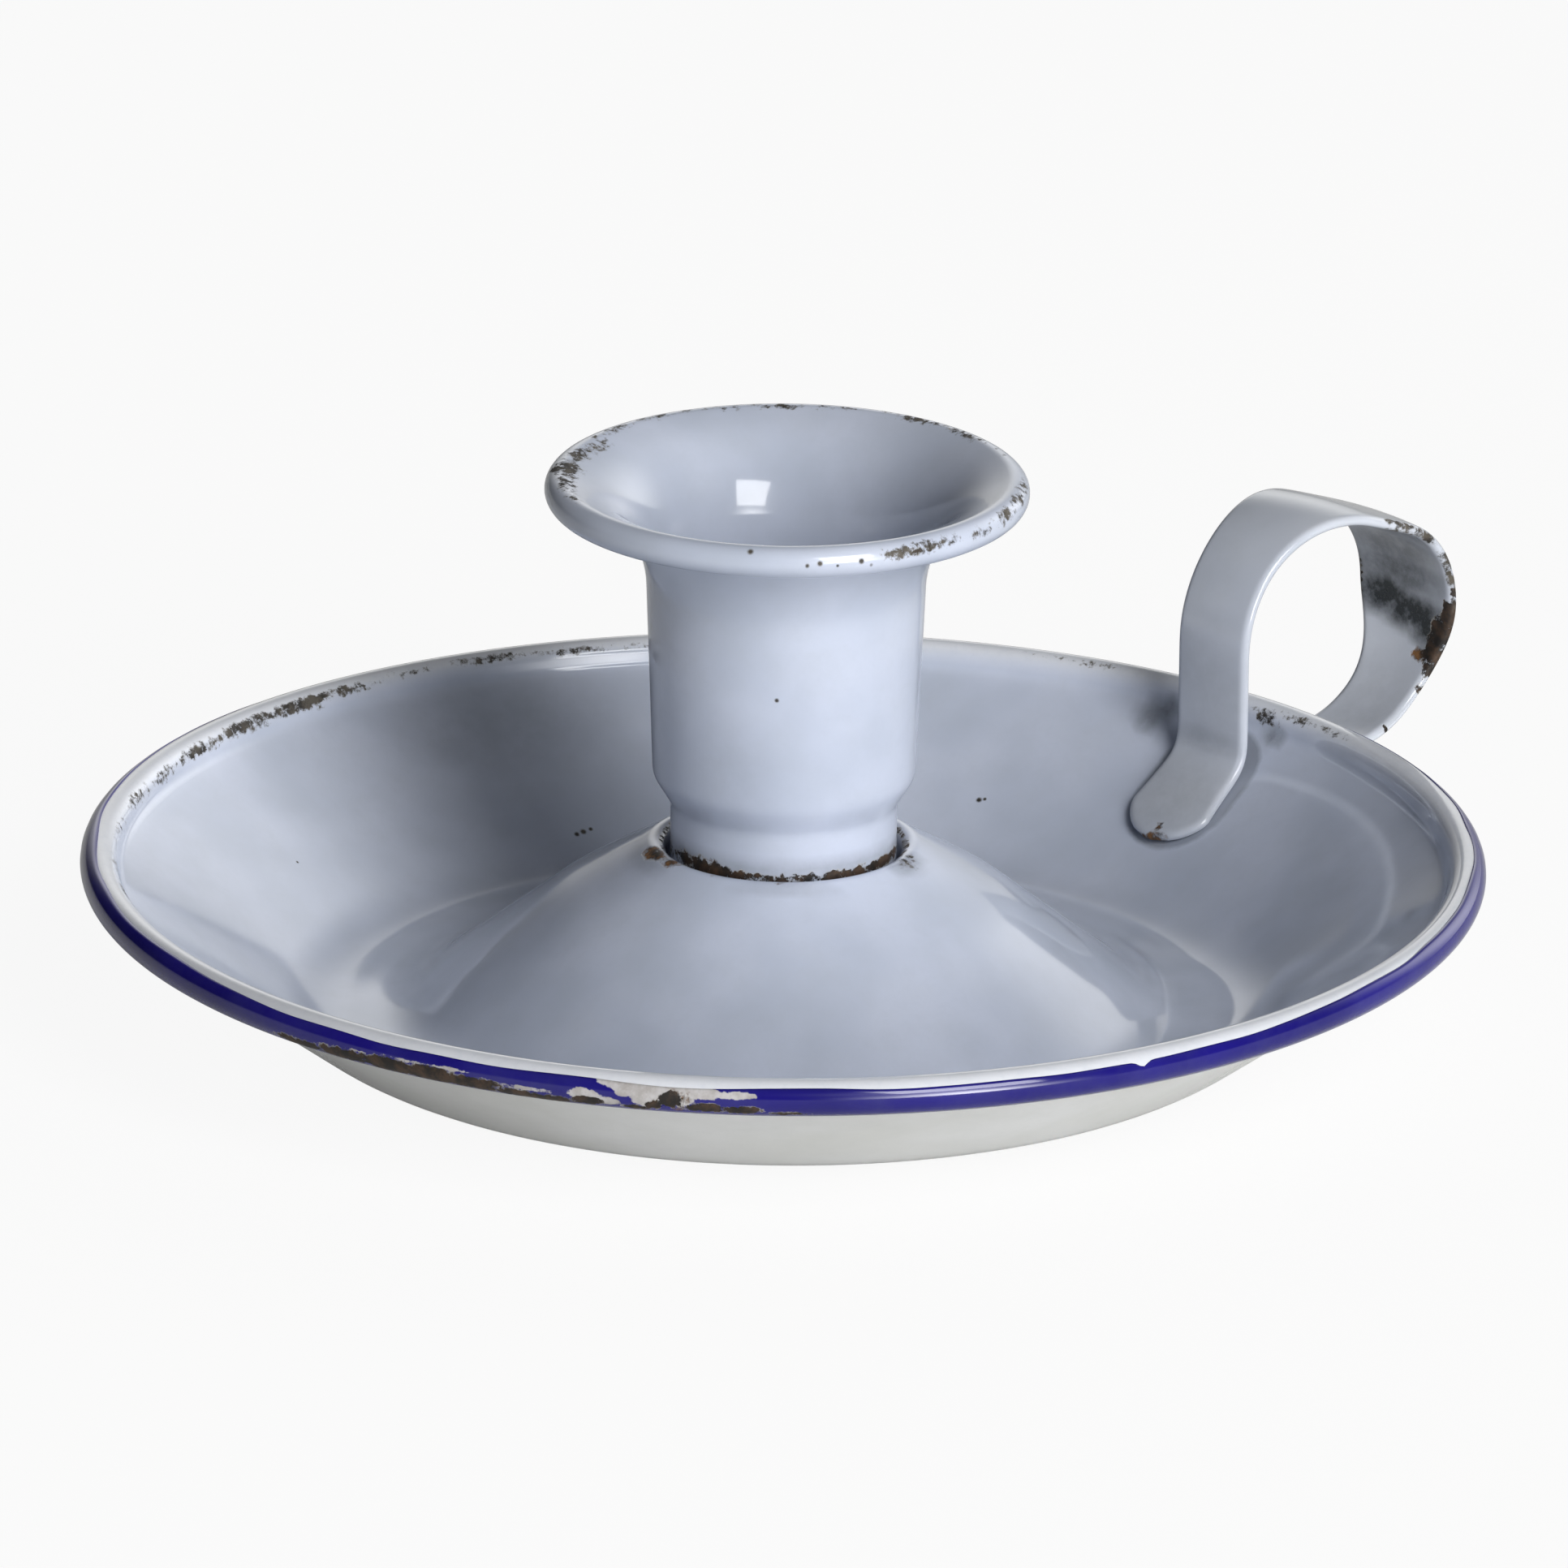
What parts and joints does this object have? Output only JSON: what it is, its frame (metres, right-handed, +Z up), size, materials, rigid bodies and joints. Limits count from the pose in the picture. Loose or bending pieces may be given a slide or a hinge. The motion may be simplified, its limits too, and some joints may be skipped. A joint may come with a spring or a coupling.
{
  "type": "chamberstick",
  "caption": "Enamelled steel chamberstick: a round drip pan with a rolled blue border, a raised boss with a stepped candle socket and a strap finger loop over the rim.",
  "frame": {"origin": "on the axis of the pan and the socket, on the plane of the foot ring that the part stands on", "axes": "+Z up along the axis of the candle socket, +X out towards the finger loop, +Y to complete a right-handed frame"},
  "size_m": [0.1726, 0.15, 0.0606],
  "materials": {
    "pale_enamel": "glossy vitreous enamel on sheet steel, pale blue grey, worn",
    "cobalt_enamel": "glossy cobalt blue vitreous enamel, chipped",
    "weld_steel": "bare spot-welded steel, dull"
  },
  "bodies": {
    "root": {"drip_pan": "pale_enamel", "rim_band": "cobalt_enamel", "candle_socket": "pale_enamel", "socket_welds": "weld_steel", "finger_loop": "pale_enamel", "loop_welds": "weld_steel"}
  },
  "joints": []
}
